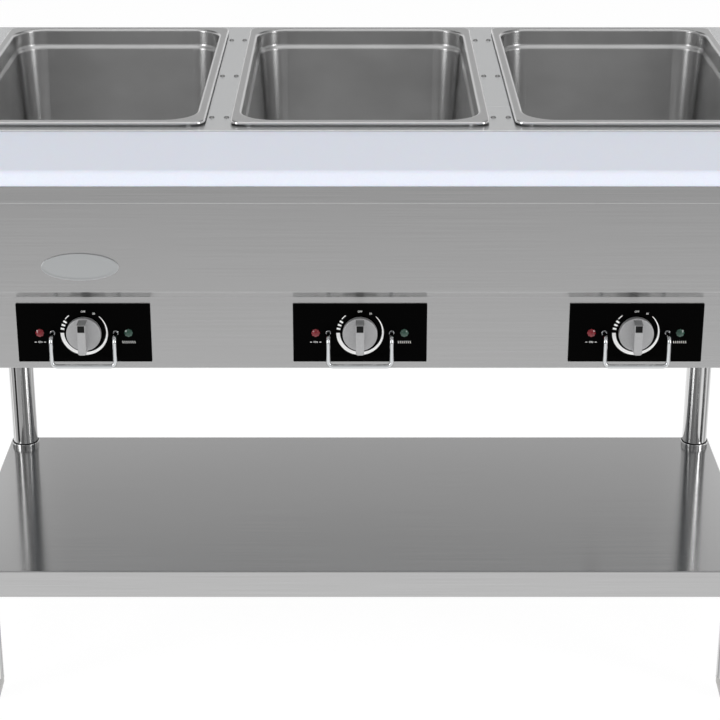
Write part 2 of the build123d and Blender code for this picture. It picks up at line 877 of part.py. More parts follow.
# Undershelf: flat sheet with turned-down aprons and lips, clamped to the legs by collars
def undershelf():
    low = shelf_height - shelf_apron
    outer = block(shelf_width, shelf_length, shelf_corner, low, shelf_height)
    outer = fillet(outer.faces().sort_by(Axis.Z)[-1].edges(), shelf_edge_radius)
    skin = 2 * sheet
    inner = (shelf_width - skin, shelf_length - skin, shelf_corner - sheet)
    shelf = outer - block(*inner, low, shelf_height - sheet)
    lips = block(*inner, low, low + sheet)
    cut = 2 * shelf_lip
    lips -= block(inner[0] - cut, inner[1] - cut, inner[2], low, low + sheet)
    for x, y in leg_places.values():
        lips -= Pos(x, y - shelf_y, low) * Box(2 * lip_notch, 2 * lip_notch, 2 * sheet)
    shelf = Pos(0, shelf_y, 0) * (shelf + lips)
    for x, y in leg_places.values():
        shelf -= post(2 * (collar_outer + tube_fit), shelf_height - sheet, shelf_height, x, y)
    return shelf


def shelf_collars():
    collars = []
    flange = 2 * (leg_radius + shelf_rim - sheet - collar_flange_gap)
    under = shelf_height - sheet
    for x, y in leg_places.values():
        collar = post(2 * collar_outer, shelf_height - collar_drop, shelf_height + collar_rise)
        collar = fillet(collar.faces().sort_by(Axis.Z)[-1].edges(), collar_edge_radius)
        collar += post(flange, under - collar_flange_height, under)
        collar -= post(2 * collar_inner, shelf_height - collar_drop, shelf_height + collar_rise)
        collar -= grub_screw(under - collar_screw_drop, 0, collar_outer + set_screw_proud, tube_fit)
        collars.append(Pos(x, y, 0) * (inward(x) * collar))
    return Compound(children=collars)


def shelf_stiffener():
    """Hat channel welded along the underside of the shelf."""
    top = shelf_height - 2 * sheet
    half = stiffener_width / 2
    points = (
        (shelf_y - half - stiffener_flange, top),
        (shelf_y - half, top),
        (shelf_y - half, top - stiffener_depth),
        (shelf_y + half, top - stiffener_depth),
        (shelf_y + half, top),
        (shelf_y + half + stiffener_flange, top),
    )
    return folded(points, shelf_width - 2 * stiffener_end)


parts = {
    "top_deck": top_deck(),
    "front_fascia": front_fascia(),
    "control_panel": control_panel(),
    "side_panel_left": side_panel(-1),
    "side_panel_right": side_panel(1),
    "rear_panel": rear_panel(),
    "bottom_cover": bottom_cover(),
    "cover_screws": cover_screws(),
    "well_insulation": well_insulation(),
    "element_clips": element_clips(),
    "cutting_board": cutting_board(),
    "board_pins": board_pins(),
    "board_tray": board_tray(),
    "board_brackets": board_brackets(),
    "badge": badge(),
    "control_switches": control_switches(),
    "power_lamps": lamp_lenses(-1),
    "heating_lamps": lamp_lenses(1),
    "lamp_bodies": lamp_bodies(),
    "guard_nuts": guard_nuts(),
    "terminal_block": terminal_block(),
    "cable_gland": cable_gland(),
    "leg_sockets": leg_sockets(),
    "set_screws": set_screws(),
    "foot_inserts": foot_inserts(),
    "undershelf": undershelf(),
    "shelf_collars": shelf_collars(),
    "shelf_stiffener": shelf_stiffener(),
}
for name, x in well_x.items():
    parts[f"well_liner_{name}"] = well_liner(x)
    parts[f"heating_element_{name}"] = heating_element(x)
    parts[f"food_pan_{name}"] = food_pan(x)
    parts[f"control_plate_{name}"] = control_plate(x)
    parts[f"knob_{name}"] = knob(x)
    parts[f"knob_pointer_{name}"] = knob_pointer(x)
    parts[f"switch_shaft_{name}"] = switch_shaft(x)
    parts[f"knob_guard_{name}"] = knob_guard(x)
for name in leg_places:
    parts[f"leg_{name}"] = leg(name)
    parts[f"foot_{name}"] = foot(name)

os.makedirs("parts", exist_ok=True)
for name, shape in parts.items():
    export_step(shape, f"parts/{name}.step")
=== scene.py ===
import json
from math import atan2, cos, pi, radians, sin, tau

import bmesh
import bpy
from bpy.props import FloatProperty, FloatVectorProperty, IntProperty, PointerProperty
from mathutils import Matrix, Vector


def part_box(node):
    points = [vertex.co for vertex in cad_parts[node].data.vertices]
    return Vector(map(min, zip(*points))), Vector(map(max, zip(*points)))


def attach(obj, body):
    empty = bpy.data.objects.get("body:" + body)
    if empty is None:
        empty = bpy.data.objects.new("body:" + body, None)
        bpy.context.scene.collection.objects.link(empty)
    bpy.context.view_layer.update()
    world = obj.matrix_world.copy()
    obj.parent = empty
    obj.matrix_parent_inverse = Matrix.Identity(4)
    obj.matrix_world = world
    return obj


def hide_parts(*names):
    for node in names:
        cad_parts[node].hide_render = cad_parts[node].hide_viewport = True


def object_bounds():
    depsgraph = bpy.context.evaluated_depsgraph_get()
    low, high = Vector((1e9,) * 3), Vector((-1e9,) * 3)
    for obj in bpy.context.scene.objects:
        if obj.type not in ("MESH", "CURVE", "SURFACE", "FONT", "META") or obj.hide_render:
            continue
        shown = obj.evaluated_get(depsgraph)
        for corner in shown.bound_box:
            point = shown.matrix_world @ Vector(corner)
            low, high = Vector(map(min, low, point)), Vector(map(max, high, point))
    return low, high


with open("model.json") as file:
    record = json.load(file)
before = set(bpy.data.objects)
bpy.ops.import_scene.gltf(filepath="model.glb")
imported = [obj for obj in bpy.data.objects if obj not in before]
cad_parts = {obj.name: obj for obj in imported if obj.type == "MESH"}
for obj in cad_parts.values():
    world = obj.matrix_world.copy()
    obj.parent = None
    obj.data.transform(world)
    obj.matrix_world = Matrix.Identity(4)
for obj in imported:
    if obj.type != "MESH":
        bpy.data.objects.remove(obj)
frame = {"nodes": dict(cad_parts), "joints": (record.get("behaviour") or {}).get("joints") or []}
CAD_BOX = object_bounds()

bl_info = {
    "name": "Hot Food Table",
    "version": (1, 0, 0),
    "blender": (4, 5, 0),
    "location": "3D View > Sidebar > Hot Table",
    "description": "Finishes, prints, rivets and stage of a three-well electric hot food table",
    "category": "Object",
}

# Names of the wells and legs, and the places that the frame gives
WELLS = ("left", "centre", "right")
CORNERS = ("front_left", "front_right", "rear_left", "rear_right")
NODES = frame["nodes"]
AXES = {joint["child"]: Vector(joint["pos_m"]) for joint in frame["joints"] if joint["type"] == "hinge"}
DECK_LOW, DECK_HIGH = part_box("top_deck")
PLATE_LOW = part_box("control_plate_left")[0]
LENS_LOW, LENS_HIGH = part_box("power_lamps")
TO_FRONT = Matrix.Rotation(pi / 2, 4, "X")
MM = 0.001
MERGE = 0.01 * MM
WHITE = (1.0, 1.0, 1.0, 1.0)
BLACK = (0.0, 0.0, 0.0, 1.0)
FELT = (0.01, 0.01, 0.01, 1.0)

# Steps of a full turn for the small round pieces
RIVET_STEPS, RING_STEPS, BEAD_STEPS = 20, 32, 48

# Sockets of the mix node, which has several of each name: its share, numbers and colours, and its colour out
SHARE, FIRST, SECOND, DARK, LIGHT = 0, 2, 3, 6, 7
TONE = 2

# Stage in metres: half the floor, half the card in front and its middle, and the reach of the black cards
FLOOR_HALF = 14.0
CARD_HALF, CARD_Y = 7.0, -7.2
FELT_NEAR, FELT_FAR = 0.25, 1.9

# Turn that a black card covers, and where each one starts, clockwise from the rear
FELT_SWEEP = radians(20)
FELT_STARTS = {"rear_left": radians(224), "rear_right": radians(116)}

# Softboxes in metres: name, width and height, place, and the setting that holds the power
SOFTBOXES = (
    ("left side light", (1.1, 2.2), (-3.4, -2.3, 1.3), "box_power"),
    ("left strip light", (0.5, 1.2), (-1.2, 2.6, 1.6), "strip_power"),
    ("right side light", (1.1, 2.2), (3.4, -2.3, 1.3), "box_power"),
    ("right strip light", (0.5, 1.2), (1.2, 2.6, 1.6), "strip_power"),
    ("top light", (3.0, 2.4), (0, 0.5, 3.4), "top_power"),
    ("fill light", (3.4, 2.4), (0, -1.3, 3.0), "fill_power"),
)


def linear(hex_value):
    """Linear red, green and blue of an sRGB hex colour."""
    parts = [int(hex_value[i:i + 2], 16) / 255 for i in (1, 3, 5)]
    return tuple(p / 12.92 if p <= 0.04045 else ((p + 0.055) / 1.055) ** 2.4 for p in parts)


def tint(label, about, hex_value):
    """A colour that a user can change."""
    return FloatVectorProperty(
        name=label, description=about, subtype="COLOR", size=3, min=0.0, max=1.0, default=linear(hex_value)
    )


def length(label, about, millimetres):
    """A length that a user can change, kept in metres."""
    return FloatProperty(name=label, description=about, unit="LENGTH", default=millimetres * MM, precision=5)


def turn(label, about, degrees):
    """An angle that a user can change."""
    return FloatProperty(name=label, description=about, subtype="ANGLE", default=radians(degrees))


def watts(label, about, power):
    """A light's power that a user can change."""
    return FloatProperty(name=label, description=about, unit="POWER", default=power)


class TableColours(bpy.types.PropertyGroup):
    """Colours of the finishes."""

    sheet_shade: tint("Sheet, dark lines", "Brushed stainless between the grinding lines", "#B6B6B6")
    sheet_light: tint("Sheet, light lines", "Brushed stainless on the grinding lines", "#C9C9C9")
    # Deck colours: the same brushed steel as the sheet, painted brighter because the upward-facing deck takes
    # more light.
    deck_shade: tint("Deck, dark lines", "Closely ground deck between the grinding lines", "#CACBCC")
    deck_light: tint("Deck, light lines", "Deck on the grinding lines", "#DEDFE0")
    zinc_shade: tint("Zinc, dark", "Galvanised cover, darkest crystals", "#76797C")
    zinc_light: tint("Zinc, light", "Galvanised cover, lightest crystals", "#979A9D")
    pan_shade: tint("Pan, dark", "Drawn pan steel where the draw has dulled it", "#B7B7B7")
    pan_light: tint("Pan, light", "Drawn pan steel where it is brightest", "#C2C2C2")
    # Painted highlight: the turned-down edge of each pan's rim is coloured brighter so that it shows as a
    # bright line.
    pan_edge_highlight: tint("Pan, edge", "Turned-down edge of a pan's rim, burnished by handling", "#E4E4E4")
    liner_shade: tint("Liner, scale", "Well liner where water has dried on it", "#B9B7B2")
    liner_light: tint("Liner, clean", "Well liner where it is clean", "#D2D1CF")
    # Leg tube colours: the stripes between them are partly buffing lines, partly painted reflection streaks.
    tube_shade: tint("Leg tube, dark", "Polished tube between the buffing lines", "#989898")
    tube_light: tint("Leg tube, light", "Polished tube on the buffing lines", "#DDDDDD")
    chrome: tint("Guard chrome", "Bright plating of the knob guards", "#DDDFE1")
    # Rivet heads are coloured darker than the deck to stand in for the shade on them: painted shade.
    rivet: tint("Rivet", "Headed rivets in the deck, darker than the sheet", "#8C8C8C")
    board_shade: tint("Board, dark", "Polyethylene in the hollows of its grain", "#E2E7F4")
    board_light: tint("Board, light", "Polyethylene on its grain", "#EEF2FE")
    plate: tint("Control plate", "Black overlay", "#010101")
    ink: tint("Dial print", "Screen-printed white ink", "#FDFDFC")
    knob_shade: tint("Knob, dark flake", "Silver moulding between its flakes", "#A3A3A4")
    knob_light: tint("Knob, light flake", "Silver moulding on its flakes", "#BCBCBD")
    moulding: tint("Black moulding", "Housings and cable gland", "#141415")
    # This black also colours the bead round each leg at its collar, which is painted shade.
    pointer: tint("Pointer and sealant", "Black inset of a knob, and the bead round a leg", "#040404")
    red_lens: tint("Red lens", "Moulded lens of the power lamps", "#8A1824")
    green_lens: tint("Green lens", "Moulded lens of the heating lamps", "#2F5346")
    turned: tint("Turned steel", "Shafts, feet and fasteners", "#B4B3B1")
    sheath: tint("Element sheath", "Heat-darkened alloy tube", "#4A4743")
    wool: tint("Glass wool", "Insulation blanket", "#DCCF93")
    badge: tint("Badge", "Bare satin aluminium", "#C2C4C5")
    floor: tint("Floor", "Pale studio floor", "#6E6E6E")


class DialSizes(bpy.types.PropertyGroup):
    """Print on each control plate."""

    radius: length("Outer radius", "Outer edge of the heat arc", 30.6)
    thin: length("Thin end", "Width of the heat arc where it starts", 0.7)
    thick: length("Thick end", "Width of the heat arc where it ends", 4.8)
    start: turn("Arc start", "Clockwise from the top", 42)
    end: turn("Arc end", "Clockwise from the top", 270)
    dash_start: turn("First dash", "Clockwise from the top", 279)
    dash_pitch: turn("Dash pitch", "Turn from one dash to the next", 10.4)
    dash_sweep: turn("Dash width", "Turn that one dash covers", 5)
    dash_length: length("Dash length", "Radial length of a dash", 4.8)
    tick_start: turn("Tick start", "Clockwise from the top", 309)
    tick_sweep: turn("Tick length", "Turn that the last thin tick covers", 13)
    tick_width: length("Tick width", "Width of the last thin tick", 1.1)
    letters: length("Letter size", "Size of the letters of the print", 3.5)
    off_rise: length("Off mark", "Height of the off mark over the knob's axis", 29.1)
    number_turn: turn("Number turn", "Clockwise from the top, of the number by the arc's start", 27)
    number_reach: length("Number reach", "From the knob's axis to that number", 29.5)
    legend_drop: length("Legend drop", "From a lamp down to its legend", 12.8)
    bar_reach: length("Bar place", "From the middle of the power legend to the middle of a bar", 6.0)
    bar_length: length("Bar length", "Length of the bars beside the power legend", 2.4)
    bar_width: length("Bar width", "Width of those bars", 0.8)
    ink: length("Ink thickness", "Height of the print over the plate", 0.05)


class DetailSizes(bpy.types.PropertyGroup):
    """Rivets, lamp lenses, guard ferrules and the beads round the legs."""

    rim_corner: length("Rim corner", "Outside corner radius of a pan's rim", 15)
    # Width of the painted highlight along the turned-down edge of a rim.
    rim_highlight_width: length("Rim edge", "Width of the burnished edge of a rim", 0.9)
    rivet_radius: length("Rivet radius", "Radius of a rivet head in the deck", 3.6)
    rivet_height: length("Rivet height", "Height of a rivet head over the deck", 2.0)
    rivet_pair: length("Rivet pair", "Distance between the two rivets of a pair", 18.6)
    rivet_row: length("Rivet row", "From the middle row to the front and rear rows", 213)
    rivet_shift: length("Rivet shift", "Middle row from the middle of the wells, to the front", 7)
    ferrule_width: length("Ferrule", "Width of the ring where a guard's wire enters its plate", 0.9)
    ferrule_height: length("Ferrule height", "Height of that ring over the plate", 0.7)
    # Size of the black bead round each leg at its collar, which stands in for the shade line there.
    bead: length("Sealant bead", "Size of the dark bead between a leg and its collar", 1.3)
    thread: length("Thread", "Pitch of the thread on a foot's stem", 1.5)
    facets: IntProperty(name="Lens facets", description="Facets round one lamp lens", default=8, min=6)


class StageSettings(bpy.types.PropertyGroup):
    """Camera and light."""

    camera_back: length("Camera distance", "From the table's middle to the front", 2603.1)
    camera_height: length("Camera height", "Over the floor", 1533.35)
    camera_tilt: turn("Camera tilt", "Downwards from level", 22.1)
    lens: FloatProperty(
        name="Lens", description="Focal length on a 36 mm sensor", unit="CAMERA", default=100.31
    )
    floor_glow: FloatProperty(name="Floor glow", description="Light that the floor gives off", default=0.92)
    box_power: watts("Side light", "Power of each side softbox", 41.0)
    top_power: watts("Top light", "Power of the overhead softbox", 24.0)
    fill_power: watts("Fill light", "Power of the high front softbox", 9.0)
    strip_power: watts("Strip light", "Power of each rear strip light", 0.5)


def add(tree, kind, settings=None, links=None):
    """Adds one node: settings fill its own values or its inputs, links feed inputs from other nodes."""
    node = tree.nodes.new(kind)
    for key, value in (settings or {}).items():
        if isinstance(key, int) or key in node.inputs:
            node.inputs[key].default_value = value
        else:
            setattr(node, key, value)
    for key, source in (links or {}).items():
        socket = source if isinstance(source, bpy.types.NodeSocket) else source.outputs[0]
        tree.links.new(socket, node.inputs[key])
    return node


def blank(name, cell=None):
    """An empty material, its tree, and the place on the piece in metres, or in cells of a size in mm."""
    material = bpy.data.materials.new(name)
    material.use_nodes = True
    tree = material.node_tree
    tree.nodes.clear()
    place = add(tree, "ShaderNodeTexCoord").outputs["Object"]
    if cell:
        place = add(tree, "ShaderNodeMapping", {"Scale": per_metre(*cell)}, {"Vector": place})
    return material, tree, place


def shown(material, tree, settings, links):
    """Gives a material its shader and returns it."""
    shader = add(tree, "ShaderNodeBsdfPrincipled", settings, links)
    add(tree, "ShaderNodeOutputMaterial", None, {"Surface": shader})
    return material


def per_metre(*millimetres):
    """Pattern scale for cells of these sizes along X, Y and Z."""
    return tuple(1 / (size * MM) for size in millimetres)


def opaque(colour):
    """A colour property as a socket takes it."""
    return (*colour, 1.0)


def colours():
    """Colours of the finishes, as the user has set them."""
    return bpy.context.scene.table_colours


def fine_finish(name, settings, cell, detail, roughness, bump):
    """One colour all over. Its roughness and bump, in strength and mm, follow one noise with cells in mm."""
    material, tree, ways = blank(name, cell)
    noise = add(tree, "ShaderNodeTexNoise", {"Scale": 1.0, "Detail": detail}, {"Vector": ways})
    dull = add(tree, "ShaderNodeMapRange", {"To Min": roughness[0], "To Max": roughness[1]}, {"Value": noise})
    rough = add(tree, "ShaderNodeBump", {"Strength": bump[0], "Distance": bump[1] * MM}, {"Height": noise})
    return shown(material, tree, settings, {"Roughness": dull, "Normal": rough})


# Brushed stainless sheet, ground by a belt along its length. The lines are really 0.1 mm wide and are
# drawn coarser so that they show. They draw a reflection out across themselves and leave it sharp along.
def brushed_stainless(name, grain, roughness, tones):
    material, tree, place = blank(name)
    line, run, sag = 1.3, 260.0, 420.0
    cell = [line, line, line]
    cell["XYZ".index(grain)] = run
    ways = add(tree, "ShaderNodeMapping", {"Scale": per_metre(*cell)}, {"Vector": place})
    lines = add(tree, "ShaderNodeTexNoise", {"Scale": 1.0, "Detail": 3.0, "Roughness": 0.6}, {"Vector": ways})
    shades = {"data_type": "RGBA", DARK: opaque(tones[0]), LIGHT: opaque(tones[1])}
    tone = add(tree, "ShaderNodeMix", shades, {SHARE: lines})
    dull = add(tree, "ShaderNodeMapRange", {"To Min": roughness[0], "To Max": roughness[1]}, {"Value": lines})
    slow = add(tree, "ShaderNodeMapping", {"Scale": per_metre(sag, sag, sag)}, {"Vector": place})
    waves = add(tree, "ShaderNodeTexNoise", {"Scale": 1.0, "Detail": 1.0}, {"Vector": slow})
    wavy = add(tree, "ShaderNodeBump", {"Strength": 0.5, "Distance": 0.9 * MM}, {"Height": waves})
    scratch = {"Strength": 0.08, "Distance": 0.1 * MM}
    ground = add(tree, "ShaderNodeBump", scratch, {"Height": lines, "Normal": wavy})
    along = add(tree, "ShaderNodeCombineXYZ", {grain: 1.0})
    metal = {"Metallic": 1.0, "Anisotropic": 0.92, "Anisotropic Rotation": 0.25}
    look = {"Base Color": tone.outputs[TONE], "Roughness": dull, "Normal": ground, "Tangent": along}
    return shown(material, tree, metal, look)


# Hot-dip galvanised sheet: the zinc sets in flat crystals, each with its own grey, and stays dull.
def galvanised_sheet(name):
    material, tree, ways = blank(name, (9, 9, 9))
    grey = add(tree, "ShaderNodeTexVoronoi", {"Scale": 1.0}, {"Vector": ways}).outputs["Color"]
    shades = {"data_type": "RGBA", DARK: opaque(colours().zinc_shade), LIGHT: opaque(colours().zinc_light)}
    tone = add(tree, "ShaderNodeMix", shades, {SHARE: grey})
    dull = add(tree, "ShaderNodeMapRange", {"To Min": 0.32, "To Max": 0.5}, {"Value": grey})
    return shown(material, tree, {"Metallic": 1.0}, {"Base Color": tone.outputs[TONE], "Roughness": dull})


# Drawn stainless with a satin finish: pressed from sheet and buffed round its walls, so a reflection is
# drawn out up and down. The flat of the rim is ground like the deck. Its turned-down edge is coloured
# brighter and smoother than the rest: a painted highlight that gives a bright line round each rim.
def drawn_stainless(name, low, high, corner, edge):
    material, tree, place = blank(name)
    rim_deep, rim_full = 1.6 * MM, 0.3 * MM
    line, run, cloud = 2.2, 70.0, 110.0
    height = add(tree, "ShaderNodeSeparateXYZ", None, {"Vector": place}).outputs["Z"]
    flat = {"From Min": high.z - rim_deep, "From Max": high.z - rim_full}
    rim = add(tree, "ShaderNodeMapRange", flat, {"Value": height})
    middle, reach = (low + high) / 2, (high - low) / 2 - Vector((corner, corner, 0))
    offset = add(tree, "ShaderNodeVectorMath", {"operation": "SUBTRACT", 1: middle}, {0: place})
    spread = add(tree, "ShaderNodeVectorMath", {"operation": "ABSOLUTE"}, {0: offset})
    past = add(tree, "ShaderNodeVectorMath", {"operation": "SUBTRACT", 1: reach}, {0: spread})
    outside = add(tree, "ShaderNodeVectorMath", {"operation": "MAXIMUM"}, {0: past})
    distance = add(tree, "ShaderNodeVectorMath", {"operation": "LENGTH"}, {0: outside}).outputs["Value"]
    # The ring just inside the rim's outer corner carries the painted highlight along its turned-down edge.
    turned = {"From Min": corner - edge, "From Max": corner - 0.5 * edge}
    painted_edge_highlight = add(tree, "ShaderNodeMapRange", turned, {"Value": distance})
    ways = add(tree, "ShaderNodeMapping", {"Scale": per_metre(line, line, run)}, {"Vector": place})
    streaks = {"Scale": 1.0, "Detail": 3.0, "Roughness": 0.55}
    lines = add(tree, "ShaderNodeTexNoise", streaks, {"Vector": ways})
    slow = add(tree, "ShaderNodeMapping", {"Scale": per_metre(cloud, cloud, run)}, {"Vector": place})
    clouds = add(tree, "ShaderNodeTexNoise", {"Scale": 1.0, "Detail": 2.0}, {"Vector": slow})
    wear = add(tree, "ShaderNodeMapRange", {"From Min": 0.35, "From Max": 0.65}, {"Value": clouds})
    shades = {"data_type": "RGBA", DARK: opaque(colours().pan_shade), LIGHT: opaque(colours().pan_light)}
    inside = add(tree, "ShaderNodeMix", shades, {SHARE: wear})
    ground = {"data_type": "RGBA", LIGHT: opaque(colours().sheet_shade)}
    drawn = add(tree, "ShaderNodeMix", ground, {SHARE: rim, DARK: inside.outputs[TONE]})
    bright = {"data_type": "RGBA", LIGHT: opaque(colours().pan_edge_highlight)}
    tone = add(tree, "ShaderNodeMix", bright, {SHARE: painted_edge_highlight, DARK: drawn.outputs[TONE]})
    satin = add(tree, "ShaderNodeMapRange", {"To Min": 0.26, "To Max": 0.36}, {"Value": lines})
    dull = add(tree, "ShaderNodeMix", {SECOND: 0.16}, {SHARE: painted_edge_highlight, FIRST: satin})
    wavy = add(tree, "ShaderNodeBump", {"Strength": 0.25, "Distance": 0.8 * MM}, {"Height": clouds})
    scratch = {"Strength": 0.04, "Distance": 0.1 * MM}
    lined = add(tree, "ShaderNodeBump", scratch, {"Height": lines, "Normal": wavy})
    upright = add(tree, "ShaderNodeCombineXYZ", {"Y": 0.05, "Z": 1.0})
    look = {"Base Color": tone.outputs[TONE], "Roughness": dull, "Normal": lined, "Tangent": upright}
    return shown(material, tree, {"Metallic": 1.0, "Anisotropic": 0.75}, look)


# Plain stainless that has held hot water: dried scale dulls it in soft clouds.
def scaled_stainless(name):
    material, tree, ways = blank(name, (40, 40, 18))
    dried = {"Scale": 1.0, "Detail": 6.0, "Roughness": 0.65}
    scale = add(tree, "ShaderNodeTexNoise", dried, {"Vector": ways})
    shades = {"data_type": "RGBA", DARK: opaque(colours().liner_shade), LIGHT: opaque(colours().liner_light)}
    tone = add(tree, "ShaderNodeMix", shades, {SHARE: scale})
    dull = add(tree, "ShaderNodeMapRange", {"To Min": 0.5, "To Max": 0.28}, {"Value": scale})
    crust = add(tree, "ShaderNodeBump", {"Strength": 0.15, "Distance": 0.2 * MM}, {"Height": scale})
    look = {"Base Color": tone.outputs[TONE], "Roughness": dull, "Normal": crust}
    return shown(material, tree, {"Metallic": 0.7}, look)


# Polished stainless tube, buffed along its length: near mirror, with long ripples that break a
# reflection into upright streaks. Its colour runs in sharp dark and light upright stripes: partly buffing
# lines, partly painted reflection streaks.
def polished_tube(name):
    material, tree, ways = blank(name, (3.2, 3.2, 600.0))
    lines = add(tree, "ShaderNodeTexNoise", {"Scale": 1.0, "Detail": 2.0, "Roughness": 0.5}, {"Vector": ways})
    shades = {"data_type": "RGBA", DARK: opaque(colours().tube_shade), LIGHT: opaque(colours().tube_light)}
    buffing_and_painted_streaks = add(tree, "ShaderNodeMapRange", {"From Min": 0.4, "From Max": 0.6}, {"Value": lines})
    tone = add(tree, "ShaderNodeMix", shades, {SHARE: buffing_and_painted_streaks})
    dull = add(tree, "ShaderNodeMapRange", {"To Min": 0.05, "To Max": 0.12}, {"Value": lines})
    ripple = add(tree, "ShaderNodeBump", {"Strength": 0.8, "Distance": 0.35 * MM}, {"Height": lines})
    look = {"Base Color": tone.outputs[TONE], "Roughness": dull, "Normal": ripple}
    return shown(material, tree, {"Metallic": 1.0}, look)


# Bright metal, plated wire or a headed rivet: mirror smooth, with a faint orange peel.
def bright_metal(name, colour):
    metal = {"Metallic": 1.0, "Base Color": opaque(colour)}
    return fine_finish(
        name, metal, cell=(1.6, 1.6, 1.6), detail=2.0, roughness=(0.05, 0.1), bump=(0.1, 0.05)
    )


# Pressed polyethylene board: waxy white with a fine even grain that scatters the light, and edges that
# use and scraping have softened.
def polyethylene(name):
    material, tree, ways = blank(name, (0.9, 0.9, 0.9))
    grain = add(tree, "ShaderNodeTexNoise", {"Scale": 1.0, "Detail": 2.0}, {"Vector": ways})
    shades = {"data_type": "RGBA", DARK: opaque(colours().board_shade), LIGHT: opaque(colours().board_light)}
    tone = add(tree, "ShaderNodeMix", shades, {SHARE: grain})
    dull = add(tree, "ShaderNodeMapRange", {"To Min": 0.42, "To Max": 0.56}, {"Value": grain})
    worn = add(tree, "ShaderNodeBevel", {"samples": 8, "Radius": 6 * MM})
    pressed = {"Strength": 0.2, "Distance": 0.1 * MM}
    rough = add(tree, "ShaderNodeBump", pressed, {"Height": grain, "Normal": worn})
    wax = {"IOR": 1.51, "Specular IOR Level": 0.4, "Subsurface Weight": 0.15, "Subsurface Scale": 4 * MM}
    look = {"Base Color": tone.outputs[TONE], "Roughness": dull, "Normal": rough}
    return shown(material, tree, wax, look)


# Black polycarbonate overlay: smooth, printed on its back, with the fine texture of the film.
def black_overlay(name):
    film = {"Base Color": opaque(colours().plate), "IOR": 1.58, "Specular IOR Level": 0.02}
    return fine_finish(
        name, film, cell=(0.7, 0.7, 0.7), detail=1.0, roughness=(0.3, 0.42), bump=(0.08, 0.05)
    )


# Screen-printed ink: matt white, a little uneven where the mesh of the screen let it through.
def printed_ink(name):
    ink = {"Base Color": opaque(colours().ink), "Specular IOR Level": 0.3}
    return fine_finish(
        name, ink, cell=(0.4, 0.4, 0.4), detail=1.0, roughness=(0.5, 0.7), bump=(0.1, 0.02)
    )


# Silver ABS moulding: metal flake in the plastic, satin from the mould, so it takes soft light evenly.
def silver_moulding(name):
    material, tree, ways = blank(name, (0.5, 0.5, 0.5))
    flake = add(tree, "ShaderNodeTexVoronoi", {"Scale": 1.0}, {"Vector": ways})
    shades = {"data_type": "RGBA", DARK: opaque(colours().knob_shade), LIGHT: opaque(colours().knob_light)}
    tone = add(tree, "ShaderNodeMix", shades, {SHARE: flake.outputs["Color"]})
    dull = add(tree, "ShaderNodeMapRange", {"To Min": 0.36, "To Max": 0.5}, {"Value": flake})
    rough = add(tree, "ShaderNodeBump", {"Strength": 0.08, "Distance": 0.05 * MM}, {"Height": flake})
    look = {"Base Color": tone.outputs[TONE], "Roughness": dull, "Normal": rough}
    return shown(material, tree, {"Metallic": 0.35, "IOR": 1.53}, look)


# Black nylon moulding: matt, with the spark-eroded grain of its mould.
def black_moulding(name, colour):
    nylon = {"Base Color": opaque(colour), "IOR": 1.53, "Specular IOR Level": 0.2}
    return fine_finish(
        name, nylon, cell=(0.6, 0.6, 0.6), detail=3.0, roughness=(0.45, 0.65), bump=(0.25, 0.06)
    )


# Clear acrylic lens, moulded with facets over a tinted core: glossy, deeper in colour where it is thick.
def acrylic_lens(name, colour):
    material, tree, ways = blank(name, (2.4, 2.4, 2.4))
    depth = add(tree, "ShaderNodeTexNoise", {"Scale": 1.0, "Detail": 1.0}, {"Vector": ways})
    core = tuple(0.45 * part for part in colour)
    shades = {"data_type": "RGBA", DARK: opaque(core), LIGHT: opaque(colour)}
    tone = add(tree, "ShaderNodeMix", shades, {SHARE: depth})
    dull = add(tree, "ShaderNodeMapRange", {"To Min": 0.06, "To Max": 0.14}, {"Value": depth})
    gloss = {"IOR": 1.49, "Specular IOR Level": 0.4, "Coat Weight": 0.35, "Coat Roughness": 0.05}
    return shown(material, tree, gloss, {"Base Color": tone.outputs[TONE], "Roughness": dull})


# Turned or rolled steel: fine rings round the axis, softly bright. A foot's stem has a rolled thread as well,
# given by the height where it starts and its pitch.
def turned_steel(name, thread=None):
    material, tree, place = blank(name)
    ring, run = 0.7, 30.0
    ways = add(tree, "ShaderNodeMapping", {"Scale": per_metre(run, run, ring)}, {"Vector": place})
    rings = add(tree, "ShaderNodeTexNoise", {"Scale": 1.0, "Detail": 2.0}, {"Vector": ways})
    dull = add(tree, "ShaderNodeMapRange", {"To Min": 0.2, "To Max": 0.36}, {"Value": rings})
    rough = add(tree, "ShaderNodeBump", {"Strength": 0.12, "Distance": 0.05 * MM}, {"Height": rings})
    if thread:
        stem_low, pitch = thread
        height = add(tree, "ShaderNodeSeparateXYZ", None, {"Vector": place}).outputs["Z"]
        turns = add(tree, "ShaderNodeMath", {"operation": "PINGPONG", 1: pitch / 2}, {0: height})
        stem = add(tree, "ShaderNodeMath", {"operation": "GREATER_THAN", 1: stem_low}, {0: height})
        ridge = add(tree, "ShaderNodeMath", {"operation": "MULTIPLY"}, {0: turns, 1: stem})
        rough = add(tree, "ShaderNodeBump", {"Distance": 1.0}, {"Height": ridge, "Normal": rough})
    steel = {"Metallic": 1.0, "Base Color": opaque(colours().turned)}
    return shown(material, tree, steel, {"Roughness": dull, "Normal": rough})


# Alloy sheath of a heating element: oxidised to a mottled grey brown by its own heat.
def oxidised_sheath(name):
    material, tree, ways = blank(name, (9, 9, 9))
    oxide = add(tree, "ShaderNodeTexNoise", {"Scale": 1.0, "Detail": 5.0, "Roughness": 0.6}, {"Vector": ways})
    bright = tuple(1.8 * part for part in colours().sheath)
    shades = {"data_type": "RGBA", DARK: opaque(colours().sheath), LIGHT: opaque(bright)}
    tone = add(tree, "ShaderNodeMix", shades, {SHARE: oxide})
    dull = add(tree, "ShaderNodeMapRange", {"To Min": 0.62, "To Max": 0.4}, {"Value": oxide})
    return shown(material, tree, {"Metallic": 0.8}, {"Base Color": tone.outputs[TONE], "Roughness": dull})


